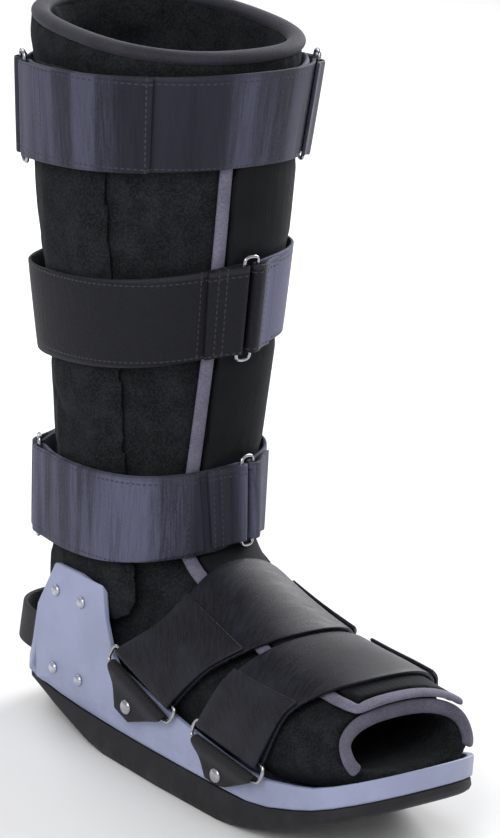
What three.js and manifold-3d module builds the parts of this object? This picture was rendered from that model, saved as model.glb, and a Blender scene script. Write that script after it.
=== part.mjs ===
// Walking boot: a padded bootie in a plastic foot shell on a rocker sole, closed by five straps.
// Millimetres, +Z up, toe towards -Y, the wearer's right side at -X.
// The origin is on the floor, on the flat tread, in the boot's plane of symmetry.
import * as THREE from 'three';
import { mergeVertices } from 'three/addons/utils/BufferGeometryUtils.js';
import Module from 'manifold-3d';

const wasm = await Module();
wasm.setup();

// Sole
const SOLE_LENGTH = 300;
const SOLE_WIDTH = 110;
const HEEL_Y = 134; // heel tip, behind the origin
const OUTSOLE_THICKNESS = 19;
const OUTSOLE_EDGE = 3; // width of the rounded lower edge
const HEEL_LIFT = 18; // how far the rocker rises at the heel tip
const TOE_LIFT = 34; // how far the tread rises at the toe tip
const TOE_SPRING = 22.5; // how far the foot bed rises at the toe tip

// Foot shell
const SHELL_WALL = 3;
const SHELL_FLOOR = 3.5;
const RIM_HEIGHT = 12;
const SIDE_WALL_HEIGHT = 76;
const WALL_FOOT = 10; // height over which the side wall swells from the sole's outline
const SHELL_EDGE = 1.5; // bevel along the shell's lower edge

// Bootie
const SHAFT_HEIGHT = 375;
const RIM_SLOPE = 6; // how much lower the rim is in front, and higher behind, than beside the calf
const SHAFT_Y = 61; // where the leg's axis meets the floor
const SHAFT_LEAN = THREE.MathUtils.degToRad(2);
const CALF_WIDTH = 123;
const CALF_DEPTH = 126;
const ANKLE_WIDTH = 87;
const ANKLE_DEPTH = 98;
const INSTEP_HEIGHT = 84; // above the foot bed
const LINER_WALL = 9;
const FOOT_ROOM = 1.5; // between the bootie and the shell's side

// Panels laid on the bootie
const PAD_GAP = 0.6;
const FLAP_THICKNESS = 4;
const SLEEVE_THICKNESS = 6;
const SLEEVE_WIDTH = 57;
const SLEEVE_TOP = SHAFT_HEIGHT - 13;
const SLEEVE_FOOT = 72;
const LOBE_REACH = 18; // how far the sleeve's rounded foot reaches in front of its edge
const BINDING_WIDTH = 9;
const BINDING_HEIGHT = 4.5;
const RIM_BINDING_HEIGHT = 8;
const FLAP_DROP = 2; // how far the flap's bound corner lies below the rim

// Uprights between the shell's side walls and the calf
const UPRIGHT_WIDTH = 26;
const UPRIGHT_THICKNESS = 2.4;
const UPRIGHT_TOP = SLEEVE_TOP - 12;
const UPRIGHT_FOOT = 32;
const POCKET_CLEARANCE = 0.5;

// Straps
const STRAP_THICKNESS = 2;
const STRAP_CLEARANCE = 1;
const LAYER_GAP = 0.4;
// Heights of each strap's edges beside the leg, how much higher it lies on the wearer's left and in front, and
// between which degrees from the front it climbs onto the sleeve and comes down from it
const TOP_STRAP = {
  low: SHAFT_HEIGHT - 62, high: SHAFT_HEIGHT - 11.5, left: 0, front: 5, climb: [56, 72], drop: [100, 128],
};
const MIDDLE_STRAP = { low: 215, high: 262, left: 6, front: 5.5, climb: [15, 55], drop: [128, 172] };
const ANKLE_STRAP = { low: 109, high: 158, left: 4, front: 0, climb: [15, 55], drop: [128, 172] };
const FOOT_STRAP_WIDTH = 48; // at its rings
// The heel strap stands off the bootie: heights of its edges, thickness, place of its ends and of its back, how
// far it draws in past the walls, how far its lower edge flares, and how square its bend is (1 is round)
const HEEL_STRAP = {
  low: 37, high: 58, thickness: 2.6, front: HEEL_Y - 52, rear: HEEL_Y - 2, draw: 3, flare: 2, square: 0.6,
};

// Wire rings, chafes and rivets
const WIRE = 2.8;
const WIRE_CLEARANCE = 0.4;
const RING_SPACING = 10; // between the centres of a ring's long bars
const RING_OVERHANG = 4; // how far a ring's bars pass the strap's edges
const RING_CORNER = 3;
const FOOT_RING_RISE = 5; // centre of a foot ring above the shell's wall
const FOOT_RING_TILT = 2.5; // how far its upper bar leans in
const CHAFE_THICKNESS = 1.6;
const RIVET_RADIUS = 3.2;
const RIVET_RISE = 1.8;
const CHAFE_RIVET_RADIUS = 4;
const RIVET_PITCH = 22; // between the two columns of wall rivets
const RIVET_ROWS = [37, 80]; // heights of the wall rivets
const SEAT_GAP = 0.3;

const DEG = Math.PI / 180;
const lerp = THREE.MathUtils.lerp;
const smooth = THREE.MathUtils.smoothstep;

// Value of a table's column at x, by a monotone cubic through its rows
function curveAt(rows, x, column = 1) {
  const last = rows.length - 1;
  if (x <= rows[0][0]) return rows[0][column];
  if (x >= rows[last][0]) return rows[last][column];
  let i = 0;
  while (x > rows[i + 1][0]) i += 1;
  const slope = (k) => (rows[k + 1][column] - rows[k][column]) / (rows[k + 1][0] - rows[k][0]);
  const tangent = (k) => {
    if (k === 0) return slope(0);
    if (k === last) return slope(last - 1);
    const before = slope(k - 1);
    const after = slope(k);
    return before * after <= 0 ? 0 : (2 * before * after) / (before + after);
  };
  const step = rows[i + 1][0] - rows[i][0];
  const t = (x - rows[i][0]) / step;
  const u = 1 - t;
  return u * u * (1 + 2 * t) * rows[i][column] + t * t * (3 - 2 * t) * rows[i + 1][column]
    + step * t * u * (u * tangent(i) - t * tangent(i + 1));
}

// Sole outline, as shares of the sole's length from the heel tip and of half its width
const OUTLINE = [
  // along, half width
  [0.12, 0.75], [0.18, 0.82], [0.25, 0.875], [0.33, 0.92], [0.45, 0.965], [0.6, 0.995], [0.72, 1],
  [0.8, 0.985],
  [0.86, 0.94],
];
const HEEL_ROUND = OUTLINE[0][0];
const TOE_ROUND = OUTLINE[OUTLINE.length - 1][0];
const TOE_SQUARENESS = 2.4;
// Rise of the rocker's tread, as shares of the lifts at heel and toe
const TREAD = [
  // along, heel, toe
  [0, 1, 0], [0.11, 0.75, 0], [0.237, 0.27, 0], [0.33, 0, 0], [0.67, 0, 0], [0.703, 0, 0.04], [0.778, 0, 0.2],
  [0.867, 0, 0.48], [0.947, 0, 0.78], [1, 0, 1],
];
const SPRING_START = 0.74;

const yAt = (along) => HEEL_Y - along * SOLE_LENGTH;

function soleHalfWidth(along) {
  let share = curveAt(OUTLINE, along);
  if (along < HEEL_ROUND) {
    share *= Math.sqrt(Math.max(0, 1 - ((HEEL_ROUND - along) / HEEL_ROUND) ** 2));
  } else if (along > TOE_ROUND) {
    const past = Math.min(1, (along - TOE_ROUND) / (1 - TOE_ROUND));
    share *= (1 - past ** TOE_SQUARENESS) ** (1 / TOE_SQUARENESS);
  }
  return share * SOLE_WIDTH / 2;
}

function flangeHeight(along) {
  return OUTSOLE_THICKNESS + TOE_SPRING * Math.max(0, (along - SPRING_START) / (1 - SPRING_START)) ** 1.6;
}

function treadHeight(along) {
  return HEEL_LIFT * curveAt(TREAD, along, 1) + TOE_LIFT * curveAt(TREAD, along, 2);
}

const bedHeight = (along) => flangeHeight(along) + SHELL_FLOOR + SEAT_GAP;

// Bootie sections. A leg section lies square to the leaning axis; a foot section spans from a point on the
// instep to a point on the heel or the bed.
const LEG_SECTIONS = [
  // height as a share of the shaft, share of the way from ankle to calf in width and in depth,
  // bulge of the calf behind as a share of its depth, share of the rim's slope
  { height: 1, width: 1.18, depth: 1.2, calf: 0.05, slope: 1 },
  { height: 0.895, width: 0.96, depth: 0.82, calf: 0.09, slope: 0.4 },
  { height: 0.763, width: 0.76, depth: 0.73, calf: 0.082, slope: 0.1 },
  { height: 0.616, width: 0.46, depth: 0.5, calf: 0.02, slope: 0 },
  { height: 0.487, width: 0.21, depth: 0.23, calf: 0.006, slope: 0 },
  { height: 0.369, width: 0.02, depth: 0.02, calf: 0, slope: 0 },
];
const FOOT_SECTIONS = [
  // instep and heel or bed points: share of the sole's length, share of the instep's height above the bed;
  // half width as a share of the ankle's or of the shell's room
  { front: 0.4, rise: 1.145, back: 0.062, lift: 1.0, ankle: 0.99 },
  { front: 0.425, rise: 1.06, back: 0.044, lift: 0.69, ankle: 0.985 },
  { front: 0.462, rise: 1.0, back: 0.025, lift: 0.38, ankle: 0.975 },
  { front: 0.5, rise: 0.955, back: 0.04, lift: 0.1, ankle: 0.95 },
  { front: 0.547, rise: 0.895, back: 0.12, lift: 0, room: 0.83 },
  { front: 0.603, rise: 0.81, back: 0.287, lift: 0, room: 0.88 },
  { front: 0.667, rise: 0.735, back: 0.463, lift: 0, room: 0.95 },
  { front: 0.733, rise: 0.695, back: 0.63, lift: 0, room: 0.99 },
  { front: 0.8, rise: 0.665, back: 0.763, lift: 0, room: 0.99 },
  { front: 0.85, rise: 0.59, back: 0.873, lift: 0, room: 0.95 },
  { front: 0.893, rise: 0.54, back: 0.965, lift: 0, room: 0.87 },
  { front: 0.935, rise: 0.47, back: 1, lift: 0, room: 0.78 },
];
const SQUARENESS = 2.4;
const LAST = LEG_SECTIONS.length + FOOT_SECTIONS.length - 1;
const TOE = LAST - 1; // the toe opening; the last section only guides what lies past it
const ANKLE = LEG_SECTIONS.length - 1;

const axisPoint = (height) => new THREE.Vector3(
  0, SHAFT_Y + height * Math.sin(SHAFT_LEAN), height * Math.cos(SHAFT_LEAN));
const forward = new THREE.Vector3(0, -Math.cos(SHAFT_LEAN), Math.sin(SHAFT_LEAN));

function legSection(row) {
  const centre = axisPoint(row.height * SHAFT_HEIGHT);
  const halfDepth = lerp(ANKLE_DEPTH, CALF_DEPTH, row.depth) / 2;
  const rise = new THREE.Vector3(0, 0, row.slope * RIM_SLOPE);
  return {
    front: centre.clone().addScaledVector(forward, halfDepth).sub(rise),
    back: centre.clone().addScaledVector(forward, -halfDepth - row.calf * CALF_DEPTH).add(rise),
    size: new THREE.Vector3(lerp(ANKLE_WIDTH, CALF_WIDTH, row.width) / 2, 0, 0),
  };
}

function footSection(row) {
  const room = SOLE_WIDTH / 2 - SHELL_WALL - FOOT_ROOM;
  const half = row.ankle ? row.ankle * ANKLE_WIDTH / 2 : row.room * room;
  return {
    front: new THREE.Vector3(0, yAt(row.front), bedHeight(row.front) + row.rise * INSTEP_HEIGHT),
    back: new THREE.Vector3(0, yAt(row.back), bedHeight(row.back) + row.lift * INSTEP_HEIGHT),
    size: new THREE.Vector3(half, 0, 0),
  };
}

const sections = [...LEG_SECTIONS.map(legSection), ...FOOT_SECTIONS.map(footSection)];
const spine = {
  front: new THREE.CatmullRomCurve3(sections.map((row) => row.front), false, 'catmullrom', 0.5),
  back: new THREE.CatmullRomCurve3(sections.map((row) => row.back), false, 'catmullrom', 0.5),
  size: new THREE.CatmullRomCurve3(sections.map((row) => row.size), false, 'catmullrom', 0.5),
};

// A point of the bootie's outside: s runs from the top rim (0) to past the toe opening, psi round the
// section from the front, positive towards +X
function skin(s, psi) {
  const t = THREE.MathUtils.clamp(s / LAST, 0, 1);
  const front = spine.front.getPoint(t);
  const back = spine.back.getPoint(t);
  const round = (value) => Math.sign(value) * Math.abs(value) ** (2 / SQUARENESS);
  const point = front.clone().add(back).multiplyScalar(0.5);
  point.addScaledVector(front.sub(back), round(Math.cos(psi)) / 2);
  point.x += spine.size.getPoint(t).x * round(Math.sin(psi));
  return point;
}

const STEP = 1e-3;
function skinNormal(s, psi) {
  const low = Math.max(0, s - 20 * STEP);
  const high = Math.min(LAST, s + 20 * STEP);
  const down = skin(high, psi).sub(skin(low, psi));
  const round = skin(s, psi + STEP).sub(skin(s, psi - STEP));
  return down.cross(round).normalize();
}

const skinAt = (s, psi, offset) => skin(s, psi).addScaledVector(skinNormal(s, psi), offset);

const heightOf = (point) => (point.y - SHAFT_Y) * Math.sin(SHAFT_LEAN) + point.z * Math.cos(SHAFT_LEAN);

// The section in which the bootie's skin at an angle lies at a height along the leaning axis
function sectionAtHeight(height, psi = Math.PI / 2) {
  let low = 0;
  let high = ANKLE + 5;
  for (let i = 0; i < 24; i += 1) {
    const middle = (low + high) / 2;
    if (heightOf(skin(middle, psi)) > height) low = middle;
    else high = middle;
  }
  return (low + high) / 2;
}

// Angle and section steps that cover a distance on the skin
const turnFor = (s, psi, distance) => distance / (skin(s, psi + STEP).distanceTo(skin(s, psi)) / STEP);

function slideAlong(s, psi, distance) {
  let at = s;
  const pieces = 8;
  for (let i = 0; i < pieces; i += 1) {
    const pace = skin(at + 10 * STEP, psi).distanceTo(skin(at, psi)) / (10 * STEP);
    at = THREE.MathUtils.clamp(at + distance / pieces / pace, 0, LAST);
  }
  return at;
}

// Meshes from rings and grids

function geometryFrom(points, faces) {
  const geometry = new THREE.BufferGeometry();
  geometry.setAttribute('position', new THREE.Float32BufferAttribute(points.flatMap((p) => p.toArray()), 3));
  geometry.setIndex(faces.flat());
  const merged = mergeVertices(geometry, 1e-4);
  const solid = outwards(merged);
  return solid;
}

// Turns a closed mesh so that its faces point out, and drops faces without area
function outwards(geometry) {
  const position = geometry.getAttribute('position');
  const index = Array.from(geometry.getIndex().array);
  const corner = (k) => new THREE.Vector3().fromBufferAttribute(position, k);
  let volume = 0;
  const kept = [];
  for (let i = 0; i < index.length; i += 3) {
    const [a, b, c] = [index[i], index[i + 1], index[i + 2]];
    if (a === b || b === c || c === a) continue;
    volume += corner(a).dot(corner(b).cross(corner(c)));
    kept.push(a, b, c);
  }
  if (volume < 0) {
    for (let i = 0; i < kept.length; i += 3) [kept[i + 1], kept[i + 2]] = [kept[i + 2], kept[i + 1]];
  }
  geometry.setIndex(kept);
  return geometry;
}

// Solid through rings of equally many points; ends are closed by a cap or joined to each other
function loft(rings, { joined = false, cap = fanCap } = {}) {
  const count = rings[0].length;
  const points = rings.flat();
  const faces = [];
  const last = joined ? rings.length : rings.length - 1;
  for (let i = 0; i < last; i += 1) {
    const near = i * count;
    const far = ((i + 1) % rings.length) * count;
    for (let j = 0; j < count; j += 1) {
      const k = (j + 1) % count;
      faces.push([near + j, near + k, far + j], [near + k, far + k, far + j]);
    }
  }
  if (!joined) {
    cap(points, faces, 0, count, true);
    cap(points, faces, (rings.length - 1) * count, count, false);
  }
  return geometryFrom(points, faces);
}

function fanCap(points, faces, start, count, reversed) {
  for (let j = 1; j < count - 1; j += 1) {
    faces.push(reversed ? [start, start + j + 1, start + j] : [start, start + j, start + j + 1]);
  }
}

// Closes a ring that is symmetric about x = 0 by rungs between mirrored points
function ladderCap(points, faces, start, count, reversed) {
  for (let j = 0; j < count / 2; j += 1) {
    const a = start + j;
    const b = start + ((j + 1) % count);
    const c = start + ((count - j - 1) % count);
    const d = start + ((count - j) % count);
    const pair = [[a, c, b], [a, d, c]];
    pair.forEach((face) => faces.push(reversed ? face : [face[0], face[2], face[1]]));
  }
}

// Solid sheet between an inner and an outer grid of points
function sheet(inner, outer) {
  const rows = inner.length;
  const columns = inner[0].length;
  const rings = inner.map((row, i) => [...row, ...outer[i].slice().reverse()]);
  const points = rings.flat();
  const count = 2 * columns;
  const faces = [];
  for (let i = 0; i < rows - 1; i += 1) {
    for (let j = 0; j < count; j += 1) {
      const k = (j + 1) % count;
      const near = i * count;
      const far = near + count;
      faces.push([near + j, near + k, far + j], [near + k, far + k, far + j]);
    }
  }
  [0, (rows - 1) * count].forEach((start, end) => {
    for (let j = 0; j < columns - 1; j += 1) {
      const quad = [start + j, start + j + 1, start + count - 2 - j, start + count - 1 - j];
      const pair = [[quad[0], quad[2], quad[1]], [quad[0], quad[3], quad[2]]];
      pair.forEach((face) => faces.push(end ? [face[0], face[2], face[1]] : face));
    }
  });
  return geometryFrom(points, faces);
}

// Band of even thickness whose middle runs through a grid: rows along the band, columns across it
function band(grid, thickness) {
  const last = grid.length - 1;
  const side = (amount) => grid.map((row, i) => row.map((point, j) => {
    const along = grid[Math.min(last, i + 1)][j].clone().sub(grid[Math.max(0, i - 1)][j]).normalize();
    const across = row[Math.min(row.length - 1, j + 1)].clone().sub(row[Math.max(0, j - 1)]);
    return point.clone().addScaledVector(across.cross(along).normalize(), amount);
  }));
  return sheet(side(-thickness / 2), side(thickness / 2));
}

// Bead of oval section along a path; each stop gives its point and the direction of its height
function bead(stops, width, height, sides, joined) {
  const count = stops.length;
  const rings = stops.map((stop, i) => {
    const before = joined ? stops[(i + count - 1) % count] : stops[Math.max(0, i - 1)];
    const after = joined ? stops[(i + 1) % count] : stops[Math.min(count - 1, i + 1)];
    const along = after.point.clone().sub(before.point).normalize();
    const across = along.clone().cross(stop.up).normalize();
    const up = across.clone().cross(along).normalize();
    return Array.from({ length: sides }, (_, k) => {
      const angle = (2 * Math.PI * (k + 0.5)) / sides;
      return stop.point.clone()
        .addScaledVector(across, (width / 2) * Math.cos(angle))
        .addScaledVector(up, (height / 2) * Math.sin(angle));
    });
  });
  return loft(rings, { joined });
}

// Joins and cuts of closed meshes

function toSolid(geometry) {
  const merged = mergeVertices(geometry, 1e-4);
  return new wasm.Manifold(new wasm.Mesh({
    numProp: 3,
    vertProperties: new Float32Array(merged.getAttribute('position').array),
    triVerts: new Uint32Array(merged.getIndex().array),
  }));
}

function cut(body, tool) {
  const mesh = toSolid(body).subtract(toSolid(tool)).getMesh();
  const geometry = new THREE.BufferGeometry();
  geometry.setAttribute('position', new THREE.BufferAttribute(new Float32Array(mesh.vertProperties), 3));
  geometry.setIndex(Array.from(mesh.triVerts));
  return geometry;
}

// The scene graph

const boot = new THREE.Group();

function material(color, roughness, metalness) {
  return new THREE.MeshStandardMaterial({ color, roughness, metalness });
}

const materials = {
  rubber: material(0x17181b, 0.75, 0),
  shell: material(0x8f95ad, 0.42, 0.25),
  loop: material(0x1a1b1e, 0.95, 0),
  flap: material(0x141518, 0.9, 0),
  binding: material(0x5d5a6b, 0.8, 0),
  webbing: material(0x3a3b46, 0.6, 0),
  hook: material(0x1d1e22, 0.9, 0),
  steel: material(0xb9bcc4, 0.3, 1),
  aluminium: material(0xa8abb2, 0.45, 1),
};

function place(name, geometry, finish) {
  geometry.computeVertexNormals();
  const mesh = new THREE.Mesh(geometry, finish);
  mesh.name = name;
  boot.add(mesh);
}

const sides = [['right', -1], ['left', 1]];

// Outsole and shell

const SHELL_STATIONS = [
  0, 0.006, 0.022, 0.045, 0.07, 0.095, 0.107, 0.12, 0.137, 0.147, 0.19, 0.26, 0.327, 0.337, 0.36, 0.38, 0.447,
  0.5, 0.563, 0.63, 0.697, 0.75, 0.8, 0.86, 0.9, 0.935, 0.965, 0.985, 0.996, 1,
];
const OUTSOLE_STATIONS = [
  0, 0.006, 0.022, 0.045, 0.07, 0.12, 0.17, 0.237, 0.28, 0.33, 0.5, 0.67, 0.703, 0.74, 0.8, 0.86,
  0.9, 0.935, 0.965, 0.985, 0.996, 1,
];

// A ring round the sole: from the heel tip along +X to the toe tip and back along -X
function planRing(stations, halfWidth, height, shorten = 0) {
  const squeeze = (along) => lerp(shorten / SOLE_LENGTH, 1 - shorten / SOLE_LENGTH, along);
  const point = (along, side) => new THREE.Vector3(
    side * Math.max(0, halfWidth(along)), yAt(squeeze(along)), height(squeeze(along)));
  const out = stations.map((along) => point(along, 1));
  const home = stations.slice(1, -1).reverse().map((along) => point(along, -1));
  return [...out, ...home];
}

function outsole() {
  const ring = (inset, height) => planRing(
    OUTSOLE_STATIONS, (along) => soleHalfWidth(along) * (1 - (2 * inset) / SOLE_WIDTH), height, inset);
  const middle = (share) => (along) => lerp(treadHeight(along), flangeHeight(along), share);
  return loft([
    ring(OUTSOLE_EDGE, treadHeight),
    ring(OUTSOLE_EDGE / 4, middle(0.18)),
    ring(0, middle(0.45)),
    ring(0.6, (along) => flangeHeight(along) - SEAT_GAP),
  ], { cap: ladderCap });
}

// Height of the shell's wall above the low rim, as a share of the side wall
const WALL_TOP = [
  // along, share
  [0.107, 0], [0.12, 0.09], [0.137, 0.24], [0.147, 0.6], [0.19, 1], [0.327, 1], [0.337, 0.76], [0.36, 0.5],
  [0.38, 0.38], [0.447, 0.3], [0.563, 0.2], [0.697, 0.1], [0.8, 0.04], [0.9, 0],
];
const wallTop = (along) => flangeHeight(along) + RIM_HEIGHT
  + curveAt(WALL_TOP, along) * (SIDE_WALL_HEIGHT - RIM_HEIGHT);

const WALL_INSIDE = ANKLE_WIDTH / 2 + PAD_GAP + SLEEVE_THICKNESS + 2 * SEAT_GAP;
const WALL_OUTSIDE = WALL_INSIDE + SHELL_WALL;

// Outside half width of the shell: the sole's outline, swelling to the side walls beside the ankle
function shellHalfWidth(along, height) {
  const outline = soleHalfWidth(along);
  const beside = smooth(along, 0.07, 0.14) * (1 - smooth(along, 0.5, 0.62));
  const swell = smooth(height - flangeHeight(along), 0, WALL_FOOT) * beside;
  return lerp(outline, Math.max(outline, WALL_OUTSIDE), swell);
}

function shell() {
  const levels = [0.06, 0.15, 0.5, 1];
  const wallRing = (share, inset) => {
    const height = (along) => lerp(flangeHeight(along) + (inset ? SHELL_FLOOR : 0), wallTop(along), share);
    return planRing(SHELL_STATIONS, (along) => {
      const outside = shellHalfWidth(along, height(along));
      return outside * (1 - (inset * 2) / SOLE_WIDTH);
    }, height, inset);
  };
  const foot = (along) => soleHalfWidth(along) * (1 - (2 * SHELL_EDGE) / SOLE_WIDTH);
  const bottom = planRing(SHELL_STATIONS, foot, flangeHeight, SHELL_EDGE);
  return loft([
    bottom,
    ...levels.map((share) => wallRing(share, 0)),
    ...levels.slice().reverse().map((share) => wallRing(share, SHELL_WALL)),
    wallRing(0, SHELL_WALL + SHELL_EDGE),
  ], { cap: ladderCap });
}

place('outsole', outsole(), materials.rubber);
place('shell', shell(), materials.shell);

// Bootie

const LINER_STATIONS = [0, 1, 2, 3, 4, 5, 5.5, 6, 6.5, 7, 7.5, 8, 8.5, 9, 9.5, 10, 11, 12, 13, 14, 15, TOE];
const LINER_SIDES = 26;
const INSIDE_STATIONS = LINER_STATIONS.filter((_, i) => i % 2 === 1 || i === 0);

function linerRing(s, offset) {
  return Array.from({ length: LINER_SIDES }, (_, j) => skinAt(s, (2 * Math.PI * j) / LINER_SIDES, offset));
}

function liner() {
  const outside = LINER_STATIONS.map((s) => linerRing(s, 0));
  const inside = INSIDE_STATIONS.slice().reverse().map((s) => linerRing(s, -LINER_WALL));
  return loft([...outside, ...inside], { joined: true });
}

place('liner', liner(), materials.loop);

// Front flap: it overlaps on the front, its bound edge on the wearer's right, and ends at the toe opening

const FLAP_EDGES = [
  // section, bound edge, far edge, in degrees from the front
  [0, -10, 62], [1, -11, 61], [3, -15, 57], [5, -23, 49], [6, -26, 46], [8, -29, 46], [10, -30, 50],
  [12, -32, 56],
  [14, -34, 60], [16, -36, 62],
];
const flapLeft = (s) => curveAt(FLAP_EDGES, s, 1) * DEG;
const flapRight = (s) => curveAt(FLAP_EDGES, s, 2) * DEG;
const FLAP_TOE = TOE - 0.3;
const FLAP_COLUMNS = 9;
const FLAP_MIDDLE = PAD_GAP + FLAP_THICKNESS / 2;
const BINDING_OFFSET = FLAP_MIDDLE + 0.2;

// The top edge rises from the bound corner to the rim
function flapTop(share) {
  const drop = FLAP_DROP * (1 - smooth(share, 0, 0.75)) + 3;
  return sectionAtHeight(SHAFT_HEIGHT - drop);
}

function flapPoint(s, share, offset) {
  const bound = flapLeft(s) + turnFor(s, flapLeft(s), BINDING_WIDTH + SEAT_GAP);
  const psi = lerp(bound, flapRight(s), share);
  const top = slideAlong(flapTop(share), psi, BINDING_WIDTH + SEAT_GAP);
  const at = s < 1 ? lerp(top, 1, s) : s;
  return skinAt(at, psi, offset);
}

function frontFlap() {
  const stations = [...LINER_STATIONS.filter((s) => s < FLAP_TOE), FLAP_TOE];
  const grid = (offset) => stations.map((s) => Array.from(
    { length: FLAP_COLUMNS + 1 }, (_, j) => flapPoint(s, j / FLAP_COLUMNS, offset)));
  return sheet(grid(PAD_GAP), grid(PAD_GAP + FLAP_THICKNESS));
}

place('front_flap', frontFlap(), materials.flap);

// Bindings

const onSkin = (s, psi, offset) => ({ point: skinAt(s, psi, offset), up: skinNormal(s, psi) });

function flapBinding() {
  const half = BINDING_WIDTH / 2;
  const stops = [];
  for (let share = 1; share > 0.04; share -= 0.12) {
    const psi = lerp(flapLeft(0), flapRight(0), share);
    stops.push(onSkin(slideAlong(flapTop(share), psi, half), psi, BINDING_OFFSET));
  }
  const edge = (s) => flapLeft(s) + turnFor(s, flapLeft(s), half);
  const start = slideAlong(flapTop(0), flapLeft(0), half * 1.5);
  const run = [start, ...LINER_STATIONS.filter((s) => s > 0.5 && s < FLAP_TOE - 0.4), FLAP_TOE - 0.15];
  run.forEach((s) => stops.push(onSkin(s, edge(s), BINDING_OFFSET)));
  const toe = slideAlong(FLAP_TOE, 0, half + SEAT_GAP);
  for (let share = 0.05; share <= 1.001; share += 0.095) {
    const psi = lerp(flapLeft(toe), flapRight(toe), share);
    stops.push(onSkin(toe, psi, BINDING_OFFSET));
  }
  return bead(stops, BINDING_WIDTH, BINDING_HEIGHT, 6, false);
}

function rimBinding() {
  const stops = Array.from({ length: 28 }, (_, j) => {
    const psi = (2 * Math.PI * j) / 28;
    const point = skinAt(0, psi, 1 - LINER_WALL / 2)
      .addScaledVector(axisPoint(1).sub(axisPoint(0)), RIM_BINDING_HEIGHT / 2 + SEAT_GAP);
    return { point, up: axisPoint(1).sub(axisPoint(0)) };
  });
  return bead(stops, LINER_WALL + 2, RIM_BINDING_HEIGHT, 8, true);
}

function toeBinding() {
  const outwardsFromToe = skin(TOE, 0).sub(skin(TOE - 0.3, 0)).add(
    skin(TOE, Math.PI).sub(skin(TOE - 0.3, Math.PI))).normalize();
  const stops = [];
  for (let turn = -118; turn <= 118; turn += 11.8) {
    const psi = turn * DEG;
    const point = skinAt(TOE, psi, -LINER_WALL / 2)
      .addScaledVector(outwardsFromToe, BINDING_HEIGHT / 2 + 2 * PAD_GAP);
    stops.push({ point, up: outwardsFromToe });
  }
  return bead(stops, LINER_WALL, BINDING_HEIGHT, 6, false);
}

place('flap_binding', flapBinding(), materials.binding);
place('rim_binding', rimBinding(), materials.binding);
place('toe_binding', toeBinding(), materials.binding);

// Side sleeves and uprights

// Front and rear reach of a sleeve's rounded foot: share of the foot's height, of half the sleeve's width in
// front and behind, and of the lobe's reach
const LOBE = [
  // height, front, lobe, rear
  [0, 0.6, 0, 0.4], [0.07, 0.9, 0.3, 0.75], [0.2, 1, 0.7, 0.95], [0.42, 1, 1, 1], [0.62, 1, 0.95, 1],
  [0.82, 1, 0.45, 1], [1, 1, 0, 1],
];
const LOBE_TOP = ANKLE_STRAP.low + 2;
const LOBE_SHARES = [0, 0.07, 0.2, 0.42, 0.62, 0.82, 1];
const SLEEVE_COLUMNS = 8;
// Thickness of a sleeve across its width, as a share of the thickness over the upright
const SLEEVE_TAPER = [
  // across, thickness
  [-1, 0.3], [-0.75, 0.62], [-0.5, 1], [0.5, 1], [0.75, 0.62], [1, 0.3],
];
const DEPTH_LIMIT = 0.86; // share of the section's half depth that a side panel follows

// A point beside the leg: at a height, a distance in front of the axis, and an offset from the bootie.
// Below the ankle strap the side is a flat plate, because the bootie's heel curves away there.
function sidePoint(side, height, ahead, offset) {
  const level = Math.max(height, LOBE_TOP);
  const middle = sectionAtHeight(level) / LAST;
  const halfDepth = spine.front.getPoint(middle).distanceTo(spine.back.getPoint(middle)) / 2;
  const share = THREE.MathUtils.clamp(ahead / halfDepth, -DEPTH_LIMIT, DEPTH_LIMIT);
  const psi = Math.acos(Math.sign(share) * Math.abs(share) ** (SQUARENESS / 2));
  const onLeg = skinAt(sectionAtHeight(level, psi), side * psi, offset);
  onLeg.add(axisPoint(height).sub(axisPoint(level)));
  const beside = axisPoint(height).addScaledVector(forward, ahead);
  beside.x = side * (ANKLE_WIDTH / 2 + offset);
  return onLeg.lerp(beside, smooth(level - height, 0, 14));
}

const sleeveHeights = [
  ...LOBE_SHARES.map((share) => lerp(SLEEVE_FOOT, LOBE_TOP, share)),
  ...[0.12, 0.28, 0.45, 0.62, 0.8, 1].map((share) => lerp(LOBE_TOP, SLEEVE_TOP, share)),
];

function sleeveGrid(side, thickness) {
  return sleeveHeights.map((height) => {
    const share = (height - SLEEVE_FOOT) / (LOBE_TOP - SLEEVE_FOOT);
    const half = SLEEVE_WIDTH / 2;
    const ahead = half * curveAt(LOBE, share, 1) + LOBE_REACH * curveAt(LOBE, share, 2);
    const behind = -half * curveAt(LOBE, share, 3);
    return Array.from({ length: SLEEVE_COLUMNS + 1 }, (_, j) => sidePoint(
      side, height, lerp(behind, ahead, j / SLEEVE_COLUMNS),
      PAD_GAP + thickness * curveAt(SLEEVE_TAPER, (2 * j) / SLEEVE_COLUMNS - 1)));
  });
}

const UPRIGHT_OFFSET = PAD_GAP + SLEEVE_THICKNESS / 2;
const UPRIGHT_WALL_OFFSET = WALL_INSIDE - SEAT_GAP - UPRIGHT_THICKNESS / 2 - ANKLE_WIDTH / 2;

// A flat bar that follows the bootie's side up to a height; below the sleeve it lies against the wall
function bar(side, top, halfWidth, thickness) {
  const shares = [0, 0.09, 0.115, 0.15, 0.2, 0.25, 0.32, 0.42, 0.55, 0.7, 0.85, 1];
  const grid = (sign) => shares.map((share) => {
    const height = lerp(UPRIGHT_FOOT, top, share);
    const out = smooth(SLEEVE_FOOT - 2 - height, 0, 12) * (UPRIGHT_WALL_OFFSET - UPRIGHT_OFFSET);
    return [-1, -0.33, 0.33, 1].map((across) => sidePoint(
      side, height, across * halfWidth, UPRIGHT_OFFSET + out + (sign * thickness) / 2));
  });
  return sheet(grid(-1), grid(1));
}

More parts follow.
